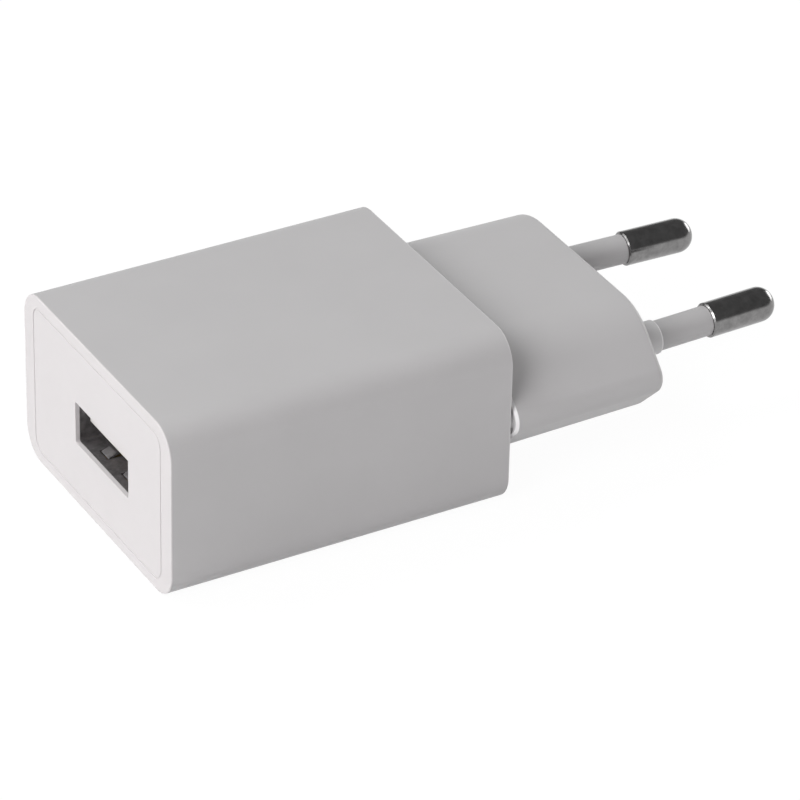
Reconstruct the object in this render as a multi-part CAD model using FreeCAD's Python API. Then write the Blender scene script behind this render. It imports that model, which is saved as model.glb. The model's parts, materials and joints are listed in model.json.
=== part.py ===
"""USB wall charger with a two-pin Europlug: housing, pins, USB-A socket and power supply board.

Frame, in millimetres: +X runs from the socket face to the pin tips, +Z is up as the charger lies on
its broad side, and the origin is under the middle of the whole object, on the surface it rests on.
"""
import FreeCAD, Part
import math
import os

# ---- housing ----
BODY_LENGTH = 40.8        # socket face to the rear edge of the sleeve
BODY_WIDTH = 34.6
BODY_HEIGHT = 21.0
BODY_CORNER = 3.5         # radius of the four long edges
SLEEVE_WALL = 1.7
SLEEVE_EDGE = 0.1         # rounding of the sleeve's rear edge
SLIDE_GAP = 0.1           # between the sleeve's bore and what is pushed into it
RIB_REACH = 1.2           # board ribs, out from the side walls
RIB_THICKNESS = 0.9

# ---- front cap ----
CAP_RIM = 0.15            # the edge of the cap that shows in front of the sleeve
CAP_EDGE = 0.1            # rounding of the cap's front edge
CAP_PLATE = 1.4           # thickness of the cap behind the socket face
CAP_SKIRT_DEPTH = 4.5     # from the rim into the sleeve
CAP_SKIRT_WALL = 1.3
FRAME_LINE_SIDE = 2.2     # inset of the shallow line on the face, from the left and right edges
FRAME_LINE_TOP = 1.3      # and from the top and bottom edges
FRAME_LINE_WIDTH = 0.25
FRAME_LINE_DEPTH = 0.06
HOOK_WIDTH = 5.0          # snap hooks on the skirt, two above and two below
HOOK_HEIGHT = 0.4
HOOK_LENGTH = 1.2
HOOK_SPACING = 15.0
WINDOW_LIP = 0.5          # plastic in front of the socket's mouth

# ---- plug base ----
BOSS_LENGTH = 19.2
BOSS_WIDTH = 35.9         # over the rounded ridges, at the body
BOSS_HEIGHT = 13.8        # at the body
BOSS_DRAFT = 0.3          # each side comes in by this much over the boss's length
BOSS_TOP_WIDTH = 24.2     # corner to corner of the flat top, before rounding
BOSS_SHOULDER = 7.5       # rounding between flat and bevel
BOSS_NOSE = 2.1           # rounding of the side ridges
BOSS_EDGE = 0.7           # rounding of the far face
BOSS_WALL = 1.8
BOSS_BLOCK = 8.0          # solid plastic that holds the pins
BOSS_SEAM = 0.35          # groove between the body and the boss
SEAM_DEPTH = 0.8          # how far the groove goes in
BOSS_REAR_EDGE = 0.35     # chamfer of the boss along the groove
BASE_PLATE = 1.8
BASE_SKIRT_DEPTH = 3.5
BASE_SKIRT_WALL = 1.2

# ---- plug pins ----
PIN_LENGTH = 19.6         # from the boss face to the tip
PIN_RADIUS = 2.0
PIN_DOME = 1.9            # rounding of the tip
PIN_RIM = 0.15            # chamfer where the bare metal starts
PIN_BASE_SPACING = 18.5
PIN_TIP_SPACING = 17.0
PIN_CORE_RADIUS = 1.35    # the metal under the insulating sleeve
PIN_FLANGE_RADIUS = 2.4   # keeps the pin from being pulled out
PIN_FLANGE_LENGTH = 1.2
PIN_CUP_LENGTH = 2.4      # solder cup for the lead
PIN_CUP_BORE = 0.75
PIN_SLEEVE_LENGTH = 10.7
PIN_SLEEVE_RADIUS = 1.72
PIN_SLEEVE_EDGE = 0.15
COLLAR_LENGTH = 3.9
COLLAR_RADIUS = 1.95
COLLAR_SINK = 4.0         # how far the collar reaches into the boss
PRESS_GAP = 0.02          # between pieces that are pressed or moulded together

# ---- USB-A socket ----
PORT_SIDE_OFFSET = 1.2    # centre of the socket, right of the middle of the face
PORT_DROP = 0.25          # and below it
PORT_WIDTH = 12.5         # inside the metal shell
PORT_HEIGHT = 5.12
SHELL_WALL = 0.3
SHELL_CORNER = 0.55
SHELL_LENGTH = 13.3
SHELL_GAP = 0.06          # between the shell and the cap
TONGUE_SETBACK = 1.45     # tongue's front behind the socket face
TONGUE_WIDTH = 11.1
TONGUE_THICKNESS = 1.84
TONGUE_DROP = 0.77        # from the shell's roof to the tongue
INSULATOR_BLOCK = 2.65    # depth of the block that closes the shell's rear
CONTACT_WIDTH = 1.0
CONTACT_THICKNESS = 0.25
CONTACT_INNER_Y = 1.0     # the two middle contacts, from the socket's centre
CONTACT_OUTER_Y = 3.5     # the two outer ones
CONTACT_SINK = 0.4        # a contact's root above the tongue's lower face
BUMP_SETBACK = 3.2        # the bump, behind the tongue's front
BUMP_FLAT = 0.5
CONTACT_TIP_SETBACK = 1.2
CONTACT_BUMP = 0.45       # how far a contact stands out of the tongue
CONTACT_GROOVE_SIDE = 0.15
CONTACT_GROOVE_DEPTH = 1.15
CONTACT_TRAVEL_GAP = 0.06  # between a contact and its fixed tail
TAIL_LENGTH = 0.4         # the tails turn down this far behind the socket
FINGER_WIDTH = 1.65
FINGER_THICKNESS = 0.25
FINGER_OFFSET = 2.55
FINGER_RISE = 0.42
FINGER_RAMP = 0.96        # from the tip to the top of the bow
FINGER_FLAT = 0.67        # length of the top
FINGER_START = 0.25       # finger's tip behind the cap's plate
FINGER_LENGTH = 4.8
FINGER_SLOT_SIDE = 0.2
SHELL_STANDOFF = 0.5       # socket's floor above the board
SHELL_LEG_WIDTH = 1.6
SHELL_LEG_FRONT = 4.6     # middle of the front legs, behind the shell's mouth
SHELL_LEG_REAR = 11.3

# ---- circuit board ----
BOARD_THICKNESS = 1.2
BOARD_GAP = 0.15          # to the housing all round
LEAD_RADIUS = 0.3
HOLE_GAP = 0.15           # a lead's hole is larger than the lead by this much
LEAD_STUB = 0.8           # leads and legs stand this far out under the board
SOLDER_RADIUS = 0.85
SOLDER_HEIGHT = 0.6
LEAD_WIRE_RADIUS = 0.7    # insulated leads to the pins
LEAD_WIRE_BEND = 4.0
LEAD_PAD_LENGTH = 2.5     # stretch soldered to the board

# ---- transformer ----
CORE_SPAN = 13.3          # across the legs
CORE_DEPTH = 6.1          # each half, along the legs
CORE_LEG = 2.0            # thickness of the yoke and the outer legs
CORE_MIDDLE = 2.8         # width of the middle leg
CORE_BRIM = 0.3           # the core stands out above and below the middle of the coil by this much
COIL_ROOF_GAP = 0.77      # coil to the sleeve above it
COIL_BOARD_GAP = 0.36     # coil to the board below it
BOBBIN_WALL = 0.6
BOBBIN_FLANGE = 0.8
WINDING_DEPTH = 2.2
WINDING_SHORT = 0.3       # the winding ends below the rim of the flanges
TAPE_THICKNESS = 0.15
TAPE_INSET = 0.5          # tape's edge from the top and bottom of the core
TRANSFORMER_LEGS = 4      # each side
LEG_SPACING = 2.6
TRANSFORMER_GAP = 0.9     # behind the socket

# ---- capacitors ----
INPUT_CAP_CORE_GAP = 0.9
INPUT_CAP_PAD_GAP = 0.35  # to the ends of the pin leads
INPUT_CAP_SEAL_PLACE = 2.15  # the sealed ends, from the middle line
OUTPUT_CAP_LENGTH = 10.0
OUTPUT_CAP_SHELL_GAP = 0.6
RIGHT_CAP_SKIRT_GAP = 0.85   # to the skirt of the front cap
LEFT_CAP_SKIRT_GAP = 1.95
CAP_BEAD = 0.3            # depth of the crimped groove
BEAD_SETBACK = 1.2        # the groove, from the sealed end
CAP_EDGE_ROUND = 0.4
LEAD_REACH = 1.2          # a lead runs this far out before it turns down
LEAD_BEND = 0.9
Y_CAP_RADIUS = 3.5
Y_CAP_STANDOFF = 0.5

# ---- axial parts beside the transformer ----
INDUCTOR_RADIUS = 2.0
INDUCTOR_LENGTH = 7.5
INDUCTOR_EDGE = 0.9
INDUCTOR_CORE_GAP = 1.4
RESISTOR_LENGTH = 7.0
RESISTOR_EDGE = 0.6
RESISTOR_CORE_GAP = 0.6
RESISTOR_Y_CAP_GAP = 0.7
AXIAL_STANDOFF = 0.3

# ---- parts under the board: length along X, width, height ----
BRIDGE_SIZE = (4.7, 3.8, 2.4)
BRIDGE_LEG_SPACING = 2.54
BRIDGE_FROM_CORE = 2.5    # its middle, behind the transformer
BRIDGE_FROM_EDGE = 7.95   # its middle, from the board's right edge
CONTROLLER_SIZE = (4.9, 3.9, 1.5)
CONTROLLER_LEG_SPACING = 1.27
CONTROLLER_FROM_EDGE = 5.95
DIODE_SIZE = (5.0, 4.2, 2.1)
DIODE_SETBACK = 8.0       # its middle, behind the shell's mouth
CHIP_GAP = 0.15           # under the board
CHIP_LEG_WIDTH = 0.4
CHIP_LEG_THICKNESS = 0.15
CHIP_RESISTOR_SIZE = (2.0, 1.25, 0.5)
CHIP_RESISTOR_INSET = 0.25   # their middle line, from the side of the core
CHIP_CAPACITOR_SIZE = (2.0, 1.25, 1.1)
CHIP_SPACING = 2.4

# ---- places worked out from the sizes above ----
LEAN = math.atan((PIN_BASE_SPACING - PIN_TIP_SPACING) / 2 / PIN_LENGTH)
X_FACE = -(BODY_LENGTH + BOSS_LENGTH + PIN_LENGTH * math.cos(LEAN)) / 2
X_SLEEVE = X_FACE + CAP_RIM
X_PLATE = X_FACE + CAP_PLATE
X_REAR = X_FACE + BODY_LENGTH
X_BOSS = X_REAR + BOSS_LENGTH
AXIS_Z = BODY_HEIGHT / 2
BORE_WIDTH = BODY_WIDTH - 2 * SLEEVE_WALL
BORE_HEIGHT = BODY_HEIGHT - 2 * SLEEVE_WALL
BORE_CORNER = BODY_CORNER - SLEEVE_WALL

PORT_Y = -PORT_SIDE_OFFSET
PORT_Z = AXIS_Z - PORT_DROP
X_SHELL = X_FACE + WINDOW_LIP
X_SHELL_END = X_SHELL + SHELL_LENGTH
SHELL_FLOOR = PORT_Z - PORT_HEIGHT / 2
SHELL_ROOF = PORT_Z + PORT_HEIGHT / 2
X_TONGUE = X_FACE + TONGUE_SETBACK
X_BLOCK = X_SHELL_END - INSULATOR_BLOCK
TONGUE_TOP = SHELL_ROOF - TONGUE_DROP
TONGUE_BOTTOM = TONGUE_TOP - TONGUE_THICKNESS
CONTACT_OFFSETS = (-CONTACT_OUTER_Y, -CONTACT_INNER_Y, CONTACT_INNER_Y, CONTACT_OUTER_Y)
CONTACT_Z = TONGUE_BOTTOM + CONTACT_SINK      # centre line of a contact at its root
CONTACT_ROOT = X_BLOCK - CONTACT_TRAVEL_GAP   # where the beam starts to bend

BOARD_TOP = SHELL_FLOOR - SHELL_WALL - SHELL_STANDOFF
BOARD_BOTTOM = BOARD_TOP - BOARD_THICKNESS
X_BOARD = X_PLATE + BOARD_GAP
X_BOARD_END = X_REAR - BASE_PLATE - BOARD_GAP
X_SKIRT_END = X_SLEEVE + CAP_SKIRT_DEPTH
X_BASE_SKIRT = X_REAR - BASE_SKIRT_DEPTH
BOARD_WIDTH = BORE_WIDTH - 2 * BOARD_GAP
CAP_SKIRT_INNER = BORE_WIDTH / 2 - SLIDE_GAP - CAP_SKIRT_WALL
BASE_SKIRT_INNER = BORE_WIDTH / 2 - SLIDE_GAP - BASE_SKIRT_WALL
PART_EDGE = BOARD_WIDTH / 2 - RIB_REACH - 2 * BOARD_GAP   # parts on the board end here, clear of the ribs
LEG_END = BOARD_BOTTOM - LEAD_STUB

X_CORE = X_SHELL_END + TRANSFORMER_GAP
X_CORE_MIDDLE = X_CORE + CORE_DEPTH
X_CORE_END = X_CORE + 2 * CORE_DEPTH
COIL_TOP = BODY_HEIGHT - SLEEVE_WALL - COIL_ROOF_GAP
COIL_BOTTOM = BOARD_TOP + COIL_BOARD_GAP
CORE_Z = (COIL_TOP + COIL_BOTTOM) / 2
MIDDLE_LEG_HEIGHT = COIL_TOP - COIL_BOTTOM - 2 * (BOBBIN_WALL + WINDING_DEPTH + 2 * PRESS_GAP)
CORE_HEIGHT = MIDDLE_LEG_HEIGHT + 2 * CORE_BRIM
CORE_BOTTOM = CORE_Z - CORE_HEIGHT / 2

X_PAD = X_BOARD_END - LEAD_PAD_LENGTH
INPUT_CAP_RADIUS = (X_PAD - INPUT_CAP_PAD_GAP - INPUT_CAP_CORE_GAP - X_CORE_END) / 2
INPUT_CAP_LENGTH = PART_EDGE - INPUT_CAP_SEAL_PLACE
SIDE_ROOM = PART_EDGE - CORE_SPAN / 2 - RESISTOR_CORE_GAP - RESISTOR_Y_CAP_GAP
RESISTOR_RADIUS = SIDE_ROOM / 4         # the resistor and the disc share the room beside the core
Y_CAP_THICKNESS = SIDE_ROOM / 2

nodes = {}
holes = []      # (x, y, radius) of every lead that goes through the board


# ---- shape helpers ----
def vec(x, y, z):
    return FreeCAD.Vector(x, y, z)


def block(x_range, y_range, z_range):
    """A plain box between the two ends of each range."""
    size = [high - low for low, high in (x_range, y_range, z_range)]
    return Part.makeBox(*size, vec(x_range[0], y_range[0], z_range[0]))


def rod(start, end, radius):
    """A cylinder from one point to another."""
    run = end - start
    return Part.makeCylinder(radius, run.Length, start, run)


def rounded_wire(points, radii):
    """A closed wire through the corners, each rounded by its radius; 0 keeps a corner sharp."""
    count = len(points)
    corners = []
    for i, corner in enumerate(points):
        if not radii[i]:
            corners.append((corner, None, corner))
            continue
        back = (points[i - 1] - corner).normalize()
        ahead = (points[(i + 1) % count] - corner).normalize()
        half = back.getAngle(ahead) / 2
        inward = (back + ahead).normalize()
        reach = radii[i] / math.tan(half)
        dip = radii[i] / math.sin(half) - radii[i]
        corners.append((corner + back * reach, corner + inward * dip, corner + ahead * reach))
    edges = []
    for i, (start, middle, end) in enumerate(corners):
        if middle:
            edges.append(Part.Arc(start, middle, end).toShape())
        following = corners[(i + 1) % count][0]
        if end.distanceToPoint(following) > 1e-6:
            edges.append(Part.LineSegment(end, following).toShape())
    return Part.Wire(edges)


def prism(points, radii, run):
    """A closed outline, with its corners rounded, pushed along run."""
    return Part.Face(rounded_wire(points, radii)).extrude(run)


def bar(x_start, x_end, width, height, radius, y=0.0, z=AXIS_Z):
    """A bar of rounded rectangular section along X."""
    signs = ((1, 1), (-1, 1), (-1, -1), (1, -1))
    points = [vec(x_start, y + sy * width / 2, z + sz * height / 2) for sy, sz in signs]
    return prism(points, [radius] * 4, vec(x_end - x_start, 0, 0))


def strip(path, thickness, y_middle, width, bend):
    """A flat metal strip of constant thickness whose centre line is given in the XZ plane."""
    above, below = [], []
    for i, (x, z) in enumerate(path):
        (xa, za), (xb, zb) = path[max(i - 1, 0)], path[min(i + 1, len(path) - 1)]
        before = vec(x - xa, 0, z - za) if i else vec(xb - x, 0, zb - z)
        after = vec(xb - x, 0, zb - z) if i < len(path) - 1 else vec(x - xa, 0, z - za)
        mean = before.normalize() + after.normalize()
        normal = vec(-mean.z, 0, mean.x).normalize()
        offset = thickness / 2 / (vec(-before.z, 0, before.x).dot(normal))
        above.append(vec(x, y_middle - width / 2, z) + normal * offset)
        below.append(vec(x, y_middle - width / 2, z) - normal * offset)
    inner = len(path) - 2
    end = thickness * 0.45
    radii = [end] + [bend] * inner + [end]
    return prism(above + below[::-1], radii + radii, vec(0, width, 0))


def tube_along(points, radius, bend):
    """A round wire along straight runs joined by tangent arcs."""
    edges = []
    start = points[0]
    for i in range(1, len(points) - 1):
        corner = points[i]
        back = (points[i - 1] - corner).normalize()
        ahead = (points[i + 1] - corner).normalize()
        half = back.getAngle(ahead) / 2
        reach = bend / math.tan(half)
        dip = bend / math.sin(half) - bend
        entry, leave = corner + back * reach, corner + ahead * reach
        edges.append(Part.LineSegment(start, entry).toShape())
        edges.append(Part.Arc(entry, corner + (back + ahead).normalize() * dip, leave).toShape())
        start = leave
    edges.append(Part.LineSegment(start, points[-1]).toShape())
    path = Part.Wire(edges)
    ring = Part.Wire(Part.makeCircle(radius, points[0], points[1] - points[0]))
    return path.makePipeShell([ring], True, True)


def through_board(x, y, radius=LEAD_RADIUS):
    """Notes a hole for a lead and returns where the lead ends under the board."""
    holes.append((x, y, radius))
    return vec(x, y, LEG_END)


def keep(name, *shapes):
    """Stores a node: one solid, or several separate ones as a group."""
    solids = [solid for shape in shapes for solid in shape.Solids]
    nodes[name] = solids[0] if len(solids) == 1 else Part.makeCompound(solids)


def hexagon(x, width, height, top_width, nose, shoulder):
    """The boss section at x: flat top and bottom, bevelled sides, width measured over the rounded noses."""
    run = width / 2 - nose - top_width / 2
    bevel = math.acos(nose / math.hypot(height / 2, run)) - math.atan2(run, height / 2)
    tip = width / 2 + nose * (1 / math.sin(bevel) - 1)
    corners = [(tip, 0), (top_width / 2, height / 2), (-top_width / 2, height / 2)]
    corners += [(-y, -z) for y, z in corners]
    points = [vec(x, y, AXIS_Z + z) for y, z in corners]
    return rounded_wire(points, [nose, shoulder, shoulder] * 2)


# ---- housing ----
def outer_sleeve():
    tube = bar(X_SLEEVE, X_REAR, BODY_WIDTH, BODY_HEIGHT, BODY_CORNER)
    rear_edges = [edge for edge in tube.Edges if edge.BoundBox.XMin > X_REAR - 1e-6]
    tube = tube.makeFillet(SLEEVE_EDGE, rear_edges)
    tube = tube.cut(bar(X_SLEEVE, X_REAR, BORE_WIDTH, BORE_HEIGHT, BORE_CORNER))
    ribs = []
    for side in (1, -1):
        wall = side * (BORE_WIDTH / 2 + SLEEVE_WALL / 2)
        lip = side * (BORE_WIDTH / 2 - RIB_REACH)
        y_range = (min(wall, lip), max(wall, lip))
        x_range = (X_SKIRT_END + SLIDE_GAP, X_BASE_SKIRT - SLIDE_GAP)
        for low in (BOARD_BOTTOM - BOARD_GAP / 2 - RIB_THICKNESS, BOARD_TOP + BOARD_GAP / 2):
            ribs.append(block(x_range, y_range, (low, low + RIB_THICKNESS)))
    tube = tube.fuse(ribs)
    pockets = [hook(sy, sz, SLIDE_GAP) for sy in (1, -1) for sz in (1, -1)]
    keep("outer_sleeve", tube.cut(pockets).removeSplitter())


def hook(side, up, gap):
    """A snap hook on the cap's skirt; with a gap, the pocket for it in the sleeve."""
    y = side * HOOK_SPACING / 2
    skirt_face = BORE_HEIGHT / 2 - SLIDE_GAP
    z_inner = AXIS_Z + up * (skirt_face - CAP_SKIRT_WALL / 2)
    z_outer = AXIS_Z + up * (skirt_face + HOOK_HEIGHT + gap)
    x_end = X_SKIRT_END - HOOK_LENGTH / 2 + gap
    x_start = x_end - HOOK_LENGTH - 2 * gap
    return block((x_start, x_end), (y - HOOK_WIDTH / 2 - gap, y + HOOK_WIDTH / 2 + gap),
                 (min(z_inner, z_outer), max(z_inner, z_outer)))


def front_cap():
    plate = bar(X_FACE, X_SLEEVE, BODY_WIDTH, BODY_HEIGHT, BODY_CORNER)
    front_edges = [edge for edge in plate.Edges if edge.BoundBox.XMax < X_FACE + 1e-6]
    plate = plate.makeFillet(CAP_EDGE, front_edges)
    skirt_width = BORE_WIDTH - 2 * SLIDE_GAP
    skirt_height = BORE_HEIGHT - 2 * SLIDE_GAP
    skirt = bar(X_SLEEVE, X_SKIRT_END, skirt_width, skirt_height, BORE_CORNER - SLIDE_GAP)
    hollow = bar(X_PLATE, X_SKIRT_END, 2 * CAP_SKIRT_INNER,
                 skirt_height - 2 * CAP_SKIRT_WALL, BORE_CORNER / 3)
    hooks = [hook(sy, sz, 0) for sy in (1, -1) for sz in (1, -1)]
    cap = plate.fuse([skirt] + hooks).cut(hollow)

    line_width = BODY_WIDTH - 2 * FRAME_LINE_SIDE
    line_height = BODY_HEIGHT - 2 * FRAME_LINE_TOP
    line_corner = BODY_CORNER - (FRAME_LINE_SIDE + FRAME_LINE_TOP) / 2
    line_end = X_FACE + FRAME_LINE_DEPTH
    groove = bar(X_FACE, line_end, line_width, line_height, line_corner)
    island = bar(X_FACE, line_end, line_width - 2 * FRAME_LINE_WIDTH,
                 line_height - 2 * FRAME_LINE_WIDTH, line_corner - FRAME_LINE_WIDTH)
    window = bar(X_FACE, X_PLATE, PORT_WIDTH, PORT_HEIGHT, SHELL_CORNER - SHELL_WALL, PORT_Y, PORT_Z)
    seat = bar(X_SHELL, X_PLATE, PORT_WIDTH + 2 * (SHELL_WALL + SHELL_GAP),
               PORT_HEIGHT + 2 * (SHELL_WALL + SHELL_GAP), SHELL_CORNER, PORT_Y, PORT_Z)
    keep("front_cap", cap.cut([groove.cut(island), window, seat]).removeSplitter())


def plug_base():
    boss_wire = hexagon(X_REAR + BOSS_SEAM, BOSS_WIDTH, BOSS_HEIGHT, BOSS_TOP_WIDTH, BOSS_NOSE, BOSS_SHOULDER)
    far_wire = hexagon(X_BOSS, BOSS_WIDTH - 2 * BOSS_DRAFT, BOSS_HEIGHT - 2 * BOSS_DRAFT,
                       BOSS_TOP_WIDTH - BOSS_DRAFT, BOSS_NOSE, BOSS_SHOULDER)
    boss = Part.makeLoft([boss_wire, far_wire], True, True)
    far_edges = [edge for edge in boss.Edges if edge.BoundBox.XMin > X_BOSS - 1e-6]
    boss = boss.makeFillet(BOSS_EDGE, far_edges)
    seam_edges = [edge for edge in boss.Edges if edge.BoundBox.XMax < X_REAR + BOSS_SEAM + 1e-6]
    boss = boss.makeChamfer(BOSS_REAR_EDGE, seam_edges)
    neck_wire = hexagon(X_REAR, BOSS_WIDTH - 2 * SEAM_DEPTH, BOSS_HEIGHT - 2 * SEAM_DEPTH,
                        BOSS_TOP_WIDTH - SEAM_DEPTH, BOSS_NOSE - SEAM_DEPTH, BOSS_SHOULDER - SEAM_DEPTH)
    neck = Part.Face(neck_wire).extrude(vec(BOSS_LENGTH / 2, 0, 0))

    plate_width = BORE_WIDTH - 2 * SLIDE_GAP
    plate_height = BORE_HEIGHT - 2 * SLIDE_GAP
    skirt = bar(X_BASE_SKIRT, X_REAR, plate_width, plate_height, BORE_CORNER - SLIDE_GAP)
    hollow = bar(X_BASE_SKIRT, X_REAR - BASE_PLATE, 2 * BASE_SKIRT_INNER,
                 plate_height - 2 * BASE_SKIRT_WALL, BORE_CORNER / 3)
    cavity_wire = hexagon(X_REAR - BASE_PLATE, 2 * BASE_SKIRT_INNER, BOSS_HEIGHT - 2 * BOSS_WALL,
                          BOSS_TOP_WIDTH - 2 * BOSS_WALL, BOSS_NOSE / 2, BOSS_SHOULDER - BOSS_WALL)
    cavity = Part.Face(cavity_wire).extrude(vec(BASE_PLATE + BOSS_LENGTH - BOSS_BLOCK, 0, 0))
    base = skirt.cut(hollow).fuse([neck, boss]).cut(cavity)
    for side in (1, -1):
        collar_hole = rod(vec(-COLLAR_SINK, 0, 0), vec(COLLAR_LENGTH, 0, 0), COLLAR_RADIUS + PRESS_GAP)
        core_hole = rod(vec(-2 * BOSS_BLOCK, 0, 0), vec(0, 0, 0), PIN_CORE_RADIUS + PRESS_GAP)
        base = base.cut([on_pin(collar_hole, side), on_pin(core_hole, side)])
    keep("plug_base", base.removeSplitter())


# ---- plug pins ----
def on_pin(shape, side):
    """Moves a shape drawn along +X from the origin onto the axis of a pin."""
    moved = shape.copy()
    moved.Placement = FreeCAD.Placement(
        vec(X_BOSS, side * PIN_BASE_SPACING / 2, AXIS_Z),
        FreeCAD.Rotation(vec(0, 0, 1), -side * math.degrees(LEAN)))
    return moved


def pin_and_sleeve(name, side):
    flange_end = -BOSS_BLOCK - PRESS_GAP - PIN_RADIUS * math.tan(LEAN)
    flange_start = flange_end - PIN_FLANGE_LENGTH
    cup_start = flange_start - PIN_CUP_LENGTH
    tip = rod(vec(PIN_SLEEVE_LENGTH + PRESS_GAP, 0, 0), vec(PIN_LENGTH, 0, 0), PIN_RADIUS)
    dome_edge = [edge for edge in tip.Edges if edge.BoundBox.XMin > PIN_LENGTH - 1e-6]
    tip = tip.makeFillet(PIN_DOME, dome_edge)
    rim_edge = [edge for edge in tip.Edges if edge.BoundBox.XMax < PIN_SLEEVE_LENGTH + 2 * PRESS_GAP]
    tip = tip.makeChamfer(PIN_RIM, rim_edge)
    core = rod(vec(cup_start, 0, 0), vec(PIN_LENGTH - PIN_RADIUS, 0, 0), PIN_CORE_RADIUS)
    flange = rod(vec(flange_start, 0, 0), vec(flange_end, 0, 0), PIN_FLANGE_RADIUS)
    cup = rod(vec(cup_start, 0, 0), vec(flange_start, 0, 0), PIN_CUP_BORE)
    pin = tip.fuse([core, flange]).cut(cup)
    keep(f"{name}_pin", on_pin(pin.removeSplitter(), side))

    bare = rod(vec(COLLAR_LENGTH, 0, 0), vec(PIN_SLEEVE_LENGTH, 0, 0), PIN_SLEEVE_RADIUS)
    collar = rod(vec(-COLLAR_SINK + PRESS_GAP, 0, 0), vec(COLLAR_LENGTH, 0, 0), COLLAR_RADIUS)
    lip = [edge for edge in collar.Edges if edge.BoundBox.XMin > COLLAR_LENGTH - 1e-6]
    collar = collar.makeFillet(PIN_SLEEVE_EDGE, lip)
    bore = rod(vec(-COLLAR_SINK, 0, 0), vec(PIN_SLEEVE_LENGTH, 0, 0), PIN_CORE_RADIUS + PRESS_GAP)
    keep(f"{name}_pin_sleeve", on_pin(collar.fuse(bare).cut(bore).removeSplitter(), side))


def pin_lead(name, side):
    """The insulated lead from the pin's solder cup down to the board."""
    cup_mouth = BOSS_BLOCK + PIN_FLANGE_LENGTH + PIN_CUP_LENGTH
    x_cup = X_BOSS - cup_mouth * math.cos(LEAN)
    y = side * (PIN_BASE_SPACING / 2 + cup_mouth * math.sin(LEAN))
    z_board = BOARD_TOP + LEAD_WIRE_RADIUS
    x_start = x_cup - LEAD_WIRE_RADIUS
    run = (x_start - X_PAD) / 3
    points = [vec(x_start, y, AXIS_Z), vec(x_start - run, y, AXIS_Z),
              vec(x_start - 2 * run, y, z_board), vec(X_PAD, y, z_board)]
    core = rod(vec(x_start, y, AXIS_Z), vec(x_cup + PIN_CUP_LENGTH / 2, y, AXIS_Z), PIN_CUP_BORE / 2)
    keep(f"{name}_lead", tube_along(points, LEAD_WIRE_RADIUS, LEAD_WIRE_BEND).fuse(core))


# ---- USB socket ----
def usb_shell():
    outer_width = PORT_WIDTH + 2 * SHELL_WALL
    outer_height = PORT_HEIGHT + 2 * SHELL_WALL
    shell = bar(X_SHELL, X_SHELL_END, outer_width, outer_height, SHELL_CORNER, PORT_Y, PORT_Z)
    legs = []
    for side in (1, -1):
        wall = PORT_Y + side * (outer_width / 2 - SHELL_WALL)
        y_range = (min(wall, wall + side * SHELL_WALL), max(wall, wall + side * SHELL_WALL))
        for setback in (SHELL_LEG_FRONT, SHELL_LEG_REAR):
            x_middle = X_SHELL + setback
            x_range = (x_middle - SHELL_LEG_WIDTH / 2, x_middle + SHELL_LEG_WIDTH / 2)
            legs.append(block(x_range, y_range, (LEG_END, PORT_Z)))
    shell = shell.fuse(legs)
    inside = bar(X_SHELL, X_SHELL_END, PORT_WIDTH, PORT_HEIGHT, SHELL_CORNER - SHELL_WALL, PORT_Y, PORT_Z)
    foot_window = block((X_BLOCK, X_SHELL_END), (PORT_Y - TONGUE_WIDTH / 2, PORT_Y + TONGUE_WIDTH / 2),
                        (SHELL_FLOOR - 2 * SHELL_WALL, PORT_Z))
    slots = [finger_slot(side) for side in (1, -1)]
    keep("usb_shell", shell.cut([inside, foot_window] + slots).removeSplitter())


def finger_slot(side):
    """The windows in floor and roof that one pair of retention fingers lies in."""
    y = PORT_Y + side * FINGER_OFFSET
    half = FINGER_WIDTH / 2 + FINGER_SLOT_SIDE
    x_start = X_PLATE + FINGER_START - FINGER_SLOT_SIDE
    x_end = X_PLATE + FINGER_START + FINGER_LENGTH + FINGER_SLOT_SIDE
    return block((x_start, x_end), (y - half, y + half),
                 (SHELL_FLOOR - 2 * SHELL_WALL, SHELL_ROOF + 2 * SHELL_WALL))


def usb_finger(name, side, up):
    """A sprung finger: hinged at its rear, bowed into the socket."""
    middle = SHELL_ROOF + SHELL_WALL / 2 if up > 0 else SHELL_FLOOR - SHELL_WALL / 2
    x_tip = X_PLATE + FINGER_START
    inward = -up * FINGER_RISE
    path = [(x_tip, middle), (x_tip + FINGER_RAMP, middle + inward),
            (x_tip + FINGER_RAMP + FINGER_FLAT, middle + inward), (x_tip + FINGER_LENGTH, middle)]
    y = PORT_Y + side * FINGER_OFFSET
    keep(name, strip(path, FINGER_THICKNESS, y, FINGER_WIDTH, FINGER_THICKNESS))


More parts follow.
